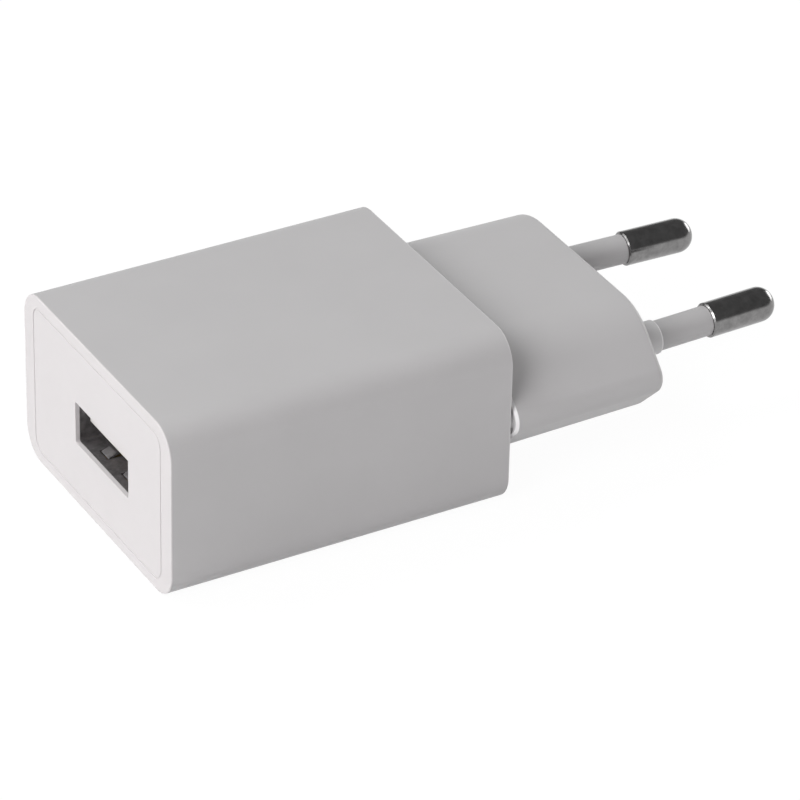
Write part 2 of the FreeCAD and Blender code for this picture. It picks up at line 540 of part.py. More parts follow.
def usb_insulator():
    tongue = block((X_TONGUE, X_BLOCK), (PORT_Y - TONGUE_WIDTH / 2, PORT_Y + TONGUE_WIDTH / 2),
                   (TONGUE_BOTTOM, TONGUE_TOP))
    front_edges = [edge for edge in tongue.Edges
                   if edge.BoundBox.XMax < X_TONGUE + 1e-6 and edge.BoundBox.YLength > TONGUE_WIDTH / 2]
    tongue = tongue.makeChamfer(CONTACT_THICKNESS / 2, front_edges)
    rear = bar(X_BLOCK, X_SHELL_END, PORT_WIDTH - 2 * PRESS_GAP, PORT_HEIGHT - 2 * PRESS_GAP,
               SHELL_CORNER - SHELL_WALL, PORT_Y, PORT_Z)
    foot_half = TONGUE_WIDTH / 2 - SHELL_GAP
    foot = block((X_BLOCK + SHELL_GAP, X_SHELL_END), (PORT_Y - foot_half, PORT_Y + foot_half),
                 (BOARD_TOP, PORT_Z))
    grooves = []
    for offset in CONTACT_OFFSETS:
        y = PORT_Y + offset
        half = CONTACT_WIDTH / 2 + CONTACT_GROOVE_SIDE
        grooves.append(block((X_TONGUE + 2 * CONTACT_THICKNESS, X_BLOCK), (y - half, y + half),
                             (TONGUE_BOTTOM, TONGUE_BOTTOM + CONTACT_GROOVE_DEPTH)))
        half = CONTACT_WIDTH / 2 + PRESS_GAP
        grooves.append(block((X_BLOCK, X_SHELL_END), (y - half, y + half),
                             (CONTACT_Z - CONTACT_THICKNESS / 2 - PRESS_GAP,
                              CONTACT_Z + CONTACT_THICKNESS / 2 + PRESS_GAP)))
    keep("usb_insulator", tongue.fuse([rear, foot]).cut(grooves).removeSplitter())


def usb_contact(number, offset):
    """A contact beam: from its root forward and down to the bump, then up into the groove."""
    bump_x = X_TONGUE + BUMP_SETBACK
    bump_z = TONGUE_BOTTOM - CONTACT_BUMP + CONTACT_THICKNESS / 2
    path = [(CONTACT_ROOT, CONTACT_Z), (bump_x + BUMP_FLAT, bump_z), (bump_x, bump_z),
            (X_TONGUE + CONTACT_TIP_SETBACK, CONTACT_Z)]
    keep(f"usb_contact_{number}",
         strip(path, CONTACT_THICKNESS, PORT_Y + offset, CONTACT_WIDTH, CONTACT_THICKNESS))


def usb_contact_tails():
    """The fixed ends of the contacts: through the block, then down to the board."""
    tails = []
    for offset in CONTACT_OFFSETS:
        y = PORT_Y + offset
        x_leg = X_SHELL_END + TAIL_LENGTH
        end = through_board(x_leg, y, CONTACT_WIDTH / 2)
        path = [(X_BLOCK, CONTACT_Z), (x_leg, CONTACT_Z), (x_leg, end.z)]
        tails.append(strip(path, CONTACT_THICKNESS, y, CONTACT_WIDTH, CONTACT_THICKNESS))
    keep("usb_contact_tails", *tails)


# ---- transformer ----
def transformer_core(name, way):
    """One E half: a yoke with three legs that point towards the middle."""
    def span(start, end):
        xs = sorted((X_CORE_MIDDLE + way * start, X_CORE_MIDDLE + way * end))
        return tuple(xs)
    z_range = (CORE_BOTTOM, CORE_BOTTOM + CORE_HEIGHT)
    half = CORE_SPAN / 2
    pieces = [block(span(CORE_DEPTH - CORE_LEG, CORE_DEPTH), (-half, half), z_range),
              block(span(PRESS_GAP, CORE_DEPTH - CORE_LEG), (half - CORE_LEG, half), z_range),
              block(span(PRESS_GAP, CORE_DEPTH - CORE_LEG), (-half, CORE_LEG - half), z_range),
              block(span(PRESS_GAP, CORE_DEPTH - CORE_LEG), (-CORE_MIDDLE / 2, CORE_MIDDLE / 2),
                    (CORE_Z - MIDDLE_LEG_HEIGHT / 2, CORE_Z + MIDDLE_LEG_HEIGHT / 2))]
    keep(name, pieces[0].fuse(pieces[1:]).removeSplitter())


def coil_ring(length, inner_gap, depth):
    """A rectangular ring round the core's middle leg."""
    width = CORE_MIDDLE + 2 * inner_gap
    height = MIDDLE_LEG_HEIGHT + 2 * inner_gap
    x_start, x_end = X_CORE_MIDDLE - length / 2, X_CORE_MIDDLE + length / 2
    outer = bar(x_start, x_end, width + 2 * depth, height + 2 * depth, depth * 0.8, 0, CORE_Z)
    return outer.cut(bar(x_start, x_end, width, height, 0.05, 0, CORE_Z))


def transformer_bobbin_and_winding():
    window = 2 * (CORE_DEPTH - CORE_LEG) - 2 * PRESS_GAP
    barrel = coil_ring(window, 2 * PRESS_GAP, BOBBIN_WALL)
    flange_ring = coil_ring(window, 2 * PRESS_GAP, BOBBIN_WALL + WINDING_DEPTH)
    between = block((X_CORE_MIDDLE - window / 2 + BOBBIN_FLANGE, X_CORE_MIDDLE + window / 2 - BOBBIN_FLANGE),
                    (-CORE_SPAN, CORE_SPAN), (0, BODY_HEIGHT))
    flanges = flange_ring.cut(between)
    rails = []
    legs = []
    leg_span = LEG_SPACING * (TRANSFORMER_LEGS - 1)
    for way in (1, -1):
        xs = sorted((X_CORE_MIDDLE + way * (window / 2 - BOBBIN_FLANGE), X_CORE_MIDDLE + way * CORE_DEPTH))
        rail = block(tuple(xs), (-leg_span / 2 - CORE_LEG / 2, leg_span / 2 + CORE_LEG / 2),
                     (BOARD_TOP, CORE_BOTTOM - PRESS_GAP))
        x_leg = X_CORE_MIDDLE + way * (CORE_DEPTH - CORE_LEG / 2)
        for i in range(TRANSFORMER_LEGS):
            y = i * LEG_SPACING - leg_span / 2
            top = vec(x_leg, y, (BOARD_TOP + CORE_BOTTOM) / 2)
            rail = rail.cut(rod(vec(x_leg, y, BOARD_TOP), top, LEAD_RADIUS))
            legs.append(rod(through_board(x_leg, y), top, LEAD_RADIUS))
        rails.append(rail)
    keep("transformer_bobbin", barrel.fuse([flanges] + rails).removeSplitter())
    keep("transformer_pins", *legs)
    winding = coil_ring(window - 2 * BOBBIN_FLANGE - 2 * PRESS_GAP, 3 * PRESS_GAP + BOBBIN_WALL,
                        WINDING_DEPTH - WINDING_SHORT)
    keep("transformer_winding", winding)


def transformer_tape():
    gap = PRESS_GAP
    z_range = (CORE_BOTTOM + TAPE_INSET, CORE_BOTTOM + CORE_HEIGHT - TAPE_INSET)
    inner = block((X_CORE - gap, X_CORE_END + gap), (-CORE_SPAN / 2 - gap, CORE_SPAN / 2 + gap), z_range)
    reach = gap + TAPE_THICKNESS
    outer = block((X_CORE - reach, X_CORE_END + reach),
                  (-CORE_SPAN / 2 - reach, CORE_SPAN / 2 + reach), z_range)
    upright = [edge for edge in outer.Edges if edge.BoundBox.ZLength > TAPE_THICKNESS]
    keep("transformer_tape", outer.makeFillet(TAPE_THICKNESS, upright).cut(inner))


# ---- capacitors ----
def can(start, direction, radius, length):
    """An electrolytic can: rounded closed end, crimped groove near the seal at its start."""
    body = rod(start, start + direction * length, radius)
    body = body.makeFillet(CAP_EDGE_ROUND, [edge for edge in body.Edges if len(edge.Vertexes) == 1])
    bead_start = start + direction * BEAD_SETBACK
    bead_end = bead_start + direction * (2 * CAP_BEAD)
    ring = rod(bead_start, bead_end, radius + CAP_BEAD).cut(rod(bead_start, bead_end, radius - CAP_BEAD))
    return body.cut(ring)


def bent_lead(start, out):
    """A lead that leaves along out, then turns down through the board."""
    corner = start + out * LEAD_REACH
    return tube_along([start, corner, through_board(corner.x, corner.y)], LEAD_RADIUS, LEAD_BEND)


def input_capacitors():
    z = BOARD_TOP + INPUT_CAP_RADIUS + PRESS_GAP
    x = X_CORE_END + INPUT_CAP_CORE_GAP + INPUT_CAP_RADIUS
    leads = []
    for name, side in (("left", 1), ("right", -1)):
        start = vec(x, side * INPUT_CAP_SEAL_PLACE, z)
        keep(f"input_capacitor_{name}", can(start, vec(0, side, 0), INPUT_CAP_RADIUS, INPUT_CAP_LENGTH))
        for offset in (-INPUT_CAP_RADIUS / 2, INPUT_CAP_RADIUS / 2):
            leads.append(bent_lead(start + vec(offset, -side * PRESS_GAP, 0), vec(0, -side, 0)))
    keep("input_capacitor_leads", *leads)


def output_capacitors():
    leads = []
    for name, side, skirt_gap in (("right", -1, RIGHT_CAP_SKIRT_GAP), ("left", 1, LEFT_CAP_SKIRT_GAP)):
        inner = side * PORT_Y + PORT_WIDTH / 2 + SHELL_WALL + OUTPUT_CAP_SHELL_GAP
        radius = (CAP_SKIRT_INNER - skirt_gap - inner) / 2
        y = side * (inner + radius)
        z = BOARD_TOP + radius + PRESS_GAP
        x_seal = X_BOARD + OUTPUT_CAP_LENGTH + BOARD_GAP
        keep(f"output_capacitor_{name}",
             can(vec(x_seal, y, z), vec(-1, 0, 0), radius, OUTPUT_CAP_LENGTH))
        for offset in (-radius / 2, radius / 2):
            leads.append(bent_lead(vec(x_seal + PRESS_GAP, y + offset, z), vec(1, 0, 0)))
    keep("output_capacitor_leads", *leads)


def y_capacitor():
    """A ceramic disc on edge beside the transformer, from the mains side to the USB side."""
    y = -(PART_EDGE - Y_CAP_THICKNESS / 2)
    z = BOARD_TOP + Y_CAP_RADIUS + Y_CAP_STANDOFF
    low = vec(X_CORE_MIDDLE, y - Y_CAP_THICKNESS / 2, z)
    disc = rod(low, low + vec(0, Y_CAP_THICKNESS, 0), Y_CAP_RADIUS)
    disc = disc.makeFillet(Y_CAP_THICKNESS * 0.4, [edge for edge in disc.Edges if len(edge.Vertexes) == 1])
    leads = []
    for way in (1, -1):
        x = X_CORE_MIDDLE + way * Y_CAP_RADIUS * 0.7
        end = through_board(x, y)
        top = vec(x, y, z)
        leads.append(rod(end, top, LEAD_RADIUS))
    keep("y_capacitor", disc.cut(leads))
    keep("y_capacitor_leads", *leads)


# ---- axial parts ----
def axial_part(name, y, radius, length, end_round):
    """A part with a lead out of each end, lying along X beside the transformer."""
    z = BOARD_TOP + radius + AXIAL_STANDOFF
    start = vec(X_CORE_MIDDLE - length / 2, y, z)
    body = rod(start, start + vec(length, 0, 0), radius)
    body = body.makeFillet(end_round, [edge for edge in body.Edges if len(edge.Vertexes) == 1])
    keep(name, body)
    leads = [bent_lead(start - vec(PRESS_GAP, 0, 0), vec(-1, 0, 0)),
             bent_lead(start + vec(length + PRESS_GAP, 0, 0), vec(1, 0, 0))]
    keep(f"{name}_leads", *leads)


# ---- parts under the board ----
def chip(name, x, y, size, leg_spacing, leg_count):
    """A moulded package under the board, with a row of legs along each long side."""
    length, width, height = size
    top = BOARD_BOTTOM - CHIP_GAP
    body = block((x - length / 2, x + length / 2), (y - width / 2, y + width / 2), (top - height, top))
    lower = [edge for edge in body.Edges if edge.BoundBox.ZMax < top - height + 1e-6]
    keep(name, body.makeChamfer(CHIP_GAP, lower))
    legs = []
    for side in (1, -1):
        for i in range(leg_count):
            x_leg = x + (i - (leg_count - 1) / 2) * leg_spacing
            root = y + side * (width / 2 + PRESS_GAP)
            knee = root + side * 2 * CHIP_LEG_THICKNESS
            toe = knee + side * CHIP_LEG_WIDTH
            foot = BOARD_BOTTOM - CHIP_LEG_THICKNESS / 2
            path = [(root, top - height / 2), (knee, top - height / 2), (knee, foot), (toe, foot)]
            leg = strip([(y_leg, z) for y_leg, z in path], CHIP_LEG_THICKNESS,
                        0, CHIP_LEG_WIDTH, CHIP_LEG_THICKNESS)
            leg.rotate(vec(0, 0, 0), vec(0, 0, 1), 90)
            leg.translate(vec(x_leg, 0, 0))
            legs.append(leg)
    keep(f"{name}_legs", *legs)


def chip_row(name, count, y, size):
    """A row of small chip parts of one kind under the transformer."""
    length, width, height = size
    shapes = []
    for i in range(count):
        x = X_CORE_MIDDLE + CHIP_SPACING * (i - (count - 1) / 2)
        body = block((x - length / 2, x + length / 2), (y - width / 2, y + width / 2),
                     (BOARD_BOTTOM - height, BOARD_BOTTOM))
        lower = [edge for edge in body.Edges if edge.BoundBox.ZMax < BOARD_BOTTOM - height + 1e-6]
        shapes.append(body.makeChamfer(CHIP_LEG_THICKNESS / 2, lower))
    keep(name, *shapes)


# ---- board ----
def circuit_board():
    skirt_half = CAP_SKIRT_INNER - BOARD_GAP
    base_half = BASE_SKIRT_INNER - BOARD_GAP
    z_range = (BOARD_BOTTOM, BOARD_TOP)
    board = block((X_SKIRT_END + BOARD_GAP, X_BASE_SKIRT - BOARD_GAP),
                  (-BOARD_WIDTH / 2, BOARD_WIDTH / 2), z_range)
    board = board.fuse([block((X_BOARD, X_CORE), (-skirt_half, skirt_half), z_range),
                        block((X_CORE, X_BOARD_END), (-base_half, base_half), z_range)])
    drills = [rod(vec(x, y, BOARD_BOTTOM), vec(x, y, BOARD_TOP), radius + HOLE_GAP)
              for x, y, radius in holes]
    slots = []
    for side in (1, -1):
        y = PORT_Y + side * (PORT_WIDTH / 2 + SHELL_WALL / 2)
        for setback in (SHELL_LEG_FRONT, SHELL_LEG_REAR):
            x = X_SHELL + setback
            half = SHELL_LEG_WIDTH / 2 + HOLE_GAP
            slots.append(block((x - half, x + half), (y - SHELL_WALL, y + SHELL_WALL), z_range))
    keep("circuit_board", board.cut(drills + slots).removeSplitter())


def solder_joints():
    """A small cone of solder round each round lead, under the board."""
    cones = []
    for x, y, radius in holes:
        if radius != LEAD_RADIUS:
            continue
        top = vec(x, y, BOARD_BOTTOM)
        cone = Part.makeCone(SOLDER_RADIUS, radius + HOLE_GAP, SOLDER_HEIGHT, top, vec(0, 0, -1))
        cones.append(cone.cut(rod(vec(x, y, LEG_END), top, radius + PRESS_GAP)))
    keep("solder_joints", *cones)


# ---- the whole charger ----
outer_sleeve()
front_cap()
plug_base()
for pin_name, pin_side in (("line", 1), ("neutral", -1)):
    pin_and_sleeve(pin_name, pin_side)
    pin_lead(pin_name, pin_side)
usb_shell()
usb_insulator()
for contact_number, contact_offset in enumerate(CONTACT_OFFSETS, 1):
    usb_contact(contact_number, contact_offset)
usb_contact_tails()
for finger_level, finger_up in (("lower", -1), ("upper", 1)):
    for finger_hand, finger_side in (("left", 1), ("right", -1)):
        usb_finger(f"usb_finger_{finger_level}_{finger_hand}", finger_side, finger_up)
transformer_core("transformer_core_front", -1)
transformer_core("transformer_core_rear", 1)
transformer_bobbin_and_winding()
transformer_tape()
input_capacitors()
output_capacitors()
y_capacitor()
axial_part("filter_inductor", CORE_SPAN / 2 + INDUCTOR_CORE_GAP + INDUCTOR_RADIUS,
           INDUCTOR_RADIUS, INDUCTOR_LENGTH, INDUCTOR_EDGE)
axial_part("fusible_resistor", -(CORE_SPAN / 2 + RESISTOR_CORE_GAP + RESISTOR_RADIUS),
           RESISTOR_RADIUS, RESISTOR_LENGTH, RESISTOR_EDGE)
chip("bridge_rectifier", X_CORE_END + BRIDGE_FROM_CORE, BRIDGE_FROM_EDGE - BOARD_WIDTH / 2,
     BRIDGE_SIZE, BRIDGE_LEG_SPACING, 2)
chip("controller_chip", X_CORE_MIDDLE, BOARD_WIDTH / 2 - CONTROLLER_FROM_EDGE,
     CONTROLLER_SIZE, CONTROLLER_LEG_SPACING, 4)
chip("output_diode", X_SHELL + DIODE_SETBACK, PORT_Y, DIODE_SIZE, 0.0, 1)
chip_row("chip_resistors", 4, CHIP_RESISTOR_INSET - CORE_SPAN / 2, CHIP_RESISTOR_SIZE)
chip_row("chip_capacitors", 3, 0.0, CHIP_CAPACITOR_SIZE)
circuit_board()
solder_joints()

os.makedirs("parts", exist_ok=True)
for node_name, node_shape in sorted(nodes.items()):
    node_shape.exportStep(f"parts/{node_name}.step")
    print(node_name, len(node_shape.Solids), round(node_shape.Volume, 2), node_shape.isValid())
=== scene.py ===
"""Studio scene of the USB wall charger: camera, light, backdrop and the finish of every piece."""
import json
import math

import bpy
from mathutils import Matrix, Vector

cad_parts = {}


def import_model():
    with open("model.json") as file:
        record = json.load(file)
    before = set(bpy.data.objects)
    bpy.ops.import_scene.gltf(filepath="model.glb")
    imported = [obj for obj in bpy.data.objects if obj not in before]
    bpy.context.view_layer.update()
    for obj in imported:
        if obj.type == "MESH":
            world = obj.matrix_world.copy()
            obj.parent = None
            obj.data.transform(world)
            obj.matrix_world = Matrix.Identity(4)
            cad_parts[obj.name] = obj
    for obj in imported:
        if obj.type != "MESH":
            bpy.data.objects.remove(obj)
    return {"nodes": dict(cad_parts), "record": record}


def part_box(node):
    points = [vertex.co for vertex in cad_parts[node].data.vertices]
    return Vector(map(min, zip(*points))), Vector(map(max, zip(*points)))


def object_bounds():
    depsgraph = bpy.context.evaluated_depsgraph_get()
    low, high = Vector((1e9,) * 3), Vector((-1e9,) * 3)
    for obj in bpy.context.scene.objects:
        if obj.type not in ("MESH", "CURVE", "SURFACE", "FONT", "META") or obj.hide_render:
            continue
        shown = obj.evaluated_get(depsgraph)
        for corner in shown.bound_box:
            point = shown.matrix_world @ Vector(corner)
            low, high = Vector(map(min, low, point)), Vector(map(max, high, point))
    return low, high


MM = 0.001

# ---- camera: where it stands, seen from the middle of the charger ----
CAMERA_AZIMUTH = -30.066      # degrees, from the broad front side towards the socket face
CAMERA_ELEVATION = 32.135
CAMERA_ROLL = 1.297
CAMERA_DISTANCE = 541.1 * MM
CAMERA_LENS = 222.6
CAMERA_SENSOR = 36.0
AIM_OFFSET = Vector((-3.48, -1.24, -4.58)) * MM   # aim point, from the middle of the charger

# ---- light ----
AMBIENT = 0.43                # the world as rough surfaces see it
DARK_OVERHEAD = 0.19          # the world as metal sees it, from a little above the table upwards
DARK_FROM = 0.22              # height of direction at which that darkness is full
SOFTBOX = 1.7                 # a bright wall beyond the socket face, as metal sees it
SOFTBOX_EDGE = (-0.35, -0.5)  # its edge fades in between these directions along X
KEY_POWER = 4.8               # from the front left
TOP_POWER = 3.7               # from behind the socket face, high
END_POWER = 3.4               # beyond the pins' tips, low
LAMP_DISTANCE = 0.9

# ---- floor ----
FLOOR_REACH = 3.0             # half its side
FLOOR_WHITE = 0.85            # the paper itself, which takes the shadow
FLOOR_GLOW = 1.02             # and the white that the camera sees over it
FLOOR_GLOW_SHARE = 0.94

# ---- housing ----
GREY = (179, 177, 178)
SEAM_WIDTH = 0.35 * MM        # groove between the body and the boss
COLLAR_LENGTH = 3.9 * MM      # thicker root of a pin's sleeve

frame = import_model()
cad_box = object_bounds()


# ---- node helpers ----
def new_material(name):
    """An empty node material with a Principled shader; returns its tree and shader."""
    material = bpy.data.materials.new(name)
    material.use_nodes = True
    tree = material.node_tree
    shader = tree.nodes["Principled BSDF"]
    return material, tree, shader


def add(tree, kind, inputs=None, **settings):
    """Adds a node; inputs are plain values or sockets to link from."""
    node = tree.nodes.new(kind)
    for name, value in settings.items():
        setattr(node, name, value)
    for name, value in (inputs or {}).items():
        if isinstance(value, bpy.types.NodeSocket):
            tree.links.new(value, node.inputs[name])
        else:
            node.inputs[name].default_value = value
    return node


def rgba(colour):
    """A colour written as it shows on a screen, 0 to 255, turned into a linear one."""
    linear = []
    for value in colour:
        share = value / 255
        linear.append(share / 12.92 if share <= 0.04045 else ((share + 0.055) / 1.055) ** 2.4)
    return (*linear, 1.0)


def shade(colour, factor):
    """The same colour, lighter or darker."""
    return tuple(min(value * factor, 255) for value in colour)


def noise(tree, size, detail=3.0, stretch=(1.0, 1.0, 1.0), roughness=0.5):
    """Noise whose features are about size millimetres across, in the object's own space."""
    place = add(tree, "ShaderNodeTexCoord")
    mapping = add(tree, "ShaderNodeMapping",
                  {"Vector": place.outputs["Object"], "Scale": [1 / s for s in stretch]})
    texture = add(tree, "ShaderNodeTexNoise",
                  {"Vector": mapping.outputs["Vector"], "Scale": 1 / (size * MM), "Detail": detail,
                   "Roughness": roughness})
    return texture.outputs["Fac"]


def spread(tree, value, low, high, start=0.3, end=0.7):
    """Turns a noise value into a number between low and high."""
    node = add(tree, "ShaderNodeMapRange",
               {"Value": value, "From Min": start, "From Max": end, "To Min": low, "To Max": high})
    return node.outputs["Result"]


def two_tones(tree, value, first, second):
    """Blends two colours by a value from 0 to 1; either may be the socket of another blend."""
    node = add(tree, "ShaderNodeMix", data_type="RGBA")
    tree.links.new(value, node.inputs[0])
    for place, tone in ((6, first), (7, second)):
        if isinstance(tone, bpy.types.NodeSocket):
            tree.links.new(tone, node.inputs[place])
        else:
            node.inputs[place].default_value = rgba(tone)
    return node.outputs[2]


def bump(tree, height, depth, below=None):
    """A bump of depth millimetres from a height value, on top of another bump."""
    inputs = {"Height": height, "Strength": 1.0, "Distance": depth * MM}
    if below is not None:
        inputs["Normal"] = below
    return add(tree, "ShaderNodeBump", inputs).outputs["Normal"]


def link(tree, shader, **sockets):
    """Links each socket to the shader input of that name, with spaces for underscores."""
    for name, socket in sockets.items():
        tree.links.new(socket, shader.inputs[name.replace("_", " ")])


# ---- materials ----
def band(tree, start, end, soft=0.05):
    """1 between two places along X, in metres, and 0 beyond them, fading over soft millimetres."""
    place = add(tree, "ShaderNodeTexCoord")
    axes = add(tree, "ShaderNodeSeparateXYZ", {"Vector": place.outputs["Object"]})
    middle, half = (start + end) / 2, (end - start) / 2
    offset = add(tree, "ShaderNodeMath", {0: axes.outputs["X"], 1: middle}, operation="SUBTRACT")
    distance = add(tree, "ShaderNodeMath", {0: offset.outputs[0]}, operation="ABSOLUTE")
    return spread(tree, distance.outputs[0], 1.0, 0.0, half - soft * MM / 2, half + soft * MM / 2)


def moulded_plastic(name, colour, roughness, grain=0.35, depth=0.004, tone=0.006, specular=0.4,
                    bright=()):
    """Moulded plastic: fine grain, faint flow in its colour, slightly uneven gloss, and painted
    highlights: bands of lighter colour along X, each a start, an end and a colour."""
    material, tree, shader = new_material(name)
    flow = spread(tree, noise(tree, 9.0, 2.0), 0.0, 1.0)
    tint = two_tones(tree, flow, shade(colour, 1 - tone), shade(colour, 1 + tone))
    # each band paints a highlight or a lighter tone onto the colour, standing in for light
    for start, end, highlight_tone in bright:
        tint = two_tones(tree, band(tree, start, end), tint, highlight_tone)
    link(tree, shader,
         Base_Color=tint,
         Roughness=spread(tree, noise(tree, 1.6, 4.0), roughness - 0.03, roughness + 0.03),
         Normal=bump(tree, noise(tree, grain, 3.0, roughness=0.6), depth))
    shader.inputs["Specular IOR Level"].default_value = specular
    return material


def metal(name, colour, roughness, grain=0.3, stretch=(1.0, 1.0, 1.0), depth=0.002, tone=0.06,
          stain_size=4.0, metallic=1.0):
    """Plain or plated metal with fine working marks, stretched along one axis."""
    material, tree, shader = new_material(name)
    marks = noise(tree, grain, 4.0, stretch, 0.65)
    stain = spread(tree, noise(tree, stain_size, 4.0, roughness=0.65), 0.0, 1.0)
    link(tree, shader,
         Base_Color=two_tones(tree, stain, shade(colour, 1 - tone), shade(colour, 1 + tone)),
         Roughness=spread(tree, marks, roughness - 0.07, roughness + 0.07),
         Normal=bump(tree, marks, depth))
    shader.inputs["Metallic"].default_value = metallic
    return material


def lacquer(name, colour, roughness=0.22, tone=0.08, coat=0.5):
    """Glossy coloured coating with an uneven dipped surface."""
    material, tree, shader = new_material(name)
    blotch = spread(tree, noise(tree, 1.4, 4.0), 0.0, 1.0)
    link(tree, shader,
         Base_Color=two_tones(tree, blotch, shade(colour, 1 - tone), shade(colour, 1 + tone)),
         Roughness=spread(tree, noise(tree, 0.6, 2.0), roughness - 0.05, roughness + 0.08),
         Normal=bump(tree, noise(tree, 1.8, 2.0), 0.03))
    shader.inputs["Coat Weight"].default_value = coat
    shader.inputs["Coat Roughness"].default_value = 0.1
    return material


def sintered(name, colour, roughness=0.75, pit=0.12):
    """Pressed powder, such as ferrite or ceramic: matt, speckled and slightly pitted."""
    material, tree, shader = new_material(name)
    specks = spread(tree, noise(tree, pit, 5.0, roughness=0.7), 0.0, 1.0, 0.4, 0.65)
    link(tree, shader,
         Base_Color=two_tones(tree, specks, shade(colour, 0.8), shade(colour, 1.3)),
         Roughness=spread(tree, noise(tree, 0.8), roughness - 0.1, roughness + 0.1),
         Normal=bump(tree, noise(tree, 2 * pit, 4.0), 0.02))
    return material


def circuit_lacquer():
    """Tan laminate with a faint glass weave, and green solder resist over tracks underneath."""
    material, tree, shader = new_material("solder_resist")
    place = add(tree, "ShaderNodeTexCoord")
    scaled = add(tree, "ShaderNodeMapping",
                 {"Vector": place.outputs["Object"], "Scale": (1 / MM, 1 / MM, 1 / MM)})
    tracks = add(tree, "ShaderNodeTexVoronoi", {"Vector": scaled.outputs["Vector"], "Scale": 0.35},
                 feature="DISTANCE_TO_EDGE", distance="MANHATTAN")
    weave = add(tree, "ShaderNodeTexWave", {"Vector": scaled.outputs["Vector"], "Scale": 1.6,
                                            "Distortion": 0.4}, bands_direction="DIAGONAL")
    copper = spread(tree, tracks.outputs["Distance"], 1.0, 0.0, 0.25, 0.32)
    faces = add(tree, "ShaderNodeSeparateXYZ",
                {"Vector": add(tree, "ShaderNodeNewGeometry").outputs["True Normal"]})
    laminate = two_tones(tree, noise(tree, 0.5), (150, 122, 82), (172, 144, 100))
    resist = two_tones(tree, copper, (22, 96, 58), (40, 124, 74))
    on_top = spread(tree, faces.outputs["Z"], 0.0, 1.0, -0.6, -0.4)
    link(tree, shader,
         Base_Color=two_tones(tree, on_top, resist, laminate),
         Roughness=spread(tree, noise(tree, 1.0), 0.28, 0.42),
         Normal=bump(tree, copper, 0.03, bump(tree, weave.outputs["Fac"], 0.004)))
    return material


def wound_wire():
    """Enamelled copper wound in close turns round the transformer's middle leg."""
    material, tree, shader = new_material("enamelled_wire")
    place = add(tree, "ShaderNodeTexCoord")
    turns = add(tree, "ShaderNodeTexWave",
                {"Vector": place.outputs["Object"], "Scale": 1 / (1.3 * MM), "Distortion": 0.15},
                bands_direction="X")
    link(tree, shader,
         # the copper is painted dark in the grooves between turns and bright on their crests: painted
         # shade
         Base_Color=two_tones(tree, turns.outputs["Fac"], (96, 44, 20), (190, 104, 52)),
         Roughness=spread(tree, noise(tree, 0.5), 0.25, 0.4),
         Normal=bump(tree, turns.outputs["Fac"], 0.12))
    shader.inputs["Metallic"].default_value = 0.6
    return material


def tape():
    """Thin polyester tape with faint wrinkles."""
    material, tree, shader = new_material("polyester_tape")
    wrinkles = noise(tree, 2.2, 3.0, (1.0, 1.0, 4.0))
    link(tree, shader,
         Base_Color=two_tones(tree, spread(tree, wrinkles, 0.0, 1.0), (206, 160, 30), (232, 190, 60)),
         Roughness=spread(tree, noise(tree, 0.9), 0.25, 0.4),
         Normal=bump(tree, wrinkles, 0.06))
    shader.inputs["Coat Weight"].default_value = 0.4
    return material


